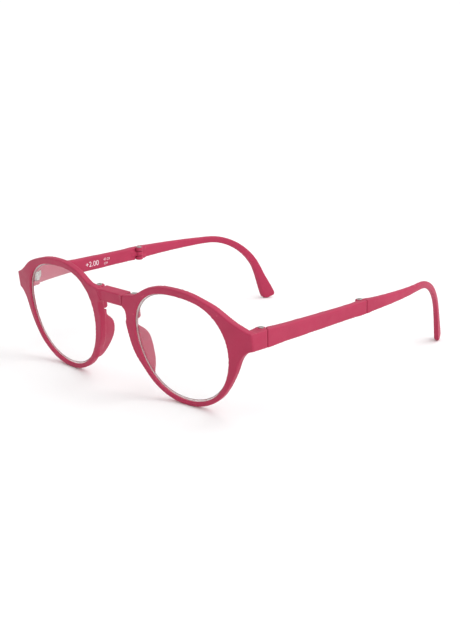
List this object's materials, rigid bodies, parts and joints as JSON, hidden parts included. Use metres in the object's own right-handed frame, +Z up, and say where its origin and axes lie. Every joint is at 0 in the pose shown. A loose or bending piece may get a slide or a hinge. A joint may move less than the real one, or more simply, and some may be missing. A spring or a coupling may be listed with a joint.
{
  "type": "folding reading glasses",
  "caption": "Round-lens reading glasses in matte plastic that fold at the bridge, at the temples and in the middle of each temple, with moulded nose pads and steel hinge screws",
  "frame": {"origin": "on the surface the open glasses stand on, under the middle of their length and width", "axes": "X runs across the face, towards the side that is named right; +Y runs back from the lenses to the ears; +Z is up"},
  "size_m": [0.1372, 0.1416, 0.0465],
  "materials": {
    "moulded_plastic": "soft-touch matt, raspberry red",
    "clear_lens": "clear, polished",
    "hinge_steel": "plain turned steel"
  },
  "bodies": {
    "bridge": {"bridge_link": "moulded_plastic"},
    "rim_right": {"rim_right": "moulded_plastic", "lens_right": "clear_lens", "bridge_screw_right": "hinge_steel", "temple_screw_right": "hinge_steel"},
    "temple_right": {"temple_front_right": "moulded_plastic", "temple_eye_right": "hinge_steel"},
    "ear_end_right": {"temple_rear_right": "moulded_plastic", "fold_screw_right": "hinge_steel"},
    "rim_left": {"rim_left": "moulded_plastic", "lens_left": "clear_lens", "bridge_screw_left": "hinge_steel", "temple_screw_left": "hinge_steel"},
    "temple_left": {"temple_front_left": "moulded_plastic", "temple_eye_left": "hinge_steel"},
    "ear_end_left": {"temple_rear_left": "moulded_plastic", "fold_screw_left": "hinge_steel"}
  },
  "joints": [
    {"name": "bridge_fold_right", "type": "hinge", "parent": "bridge", "child": "rim_right", "pos_m": [0.0102, -0.06643, 0.03732], "axis": [0, 0.1271, -0.9919], "range_deg": [-40, 0]},
    {"name": "bridge_fold_left", "type": "hinge", "parent": "bridge", "child": "rim_left", "pos_m": [-0.0102, -0.06643, 0.03732], "axis": [0, -0.1271, 0.9919], "range_deg": [-40, 0]},
    {"name": "temple_fold_right", "type": "hinge", "parent": "rim_right", "child": "temple_right", "pos_m": [0.0654, -0.05447, 0.0313], "axis": [0, 0.0052, 1], "range_deg": [0, 83]},
    {"name": "temple_fold_left", "type": "hinge", "parent": "rim_left", "child": "temple_left", "pos_m": [-0.0654, -0.05447, 0.0313], "axis": [0, -0.0052, -1], "range_deg": [0, 70]},
    {"name": "ear_end_fold_right", "type": "hinge", "parent": "temple_right", "child": "ear_end_right", "pos_m": [0.0644, 0.00093, 0.03121], "axis": [0, -0.0052, -1], "range_deg": [-132, 0]},
    {"name": "ear_end_fold_left", "type": "hinge", "parent": "temple_left", "child": "ear_end_left", "pos_m": [-0.0644, 0.00093, 0.03121], "axis": [0, 0.0052, 1], "range_deg": [-132, 0]}
  ]
}
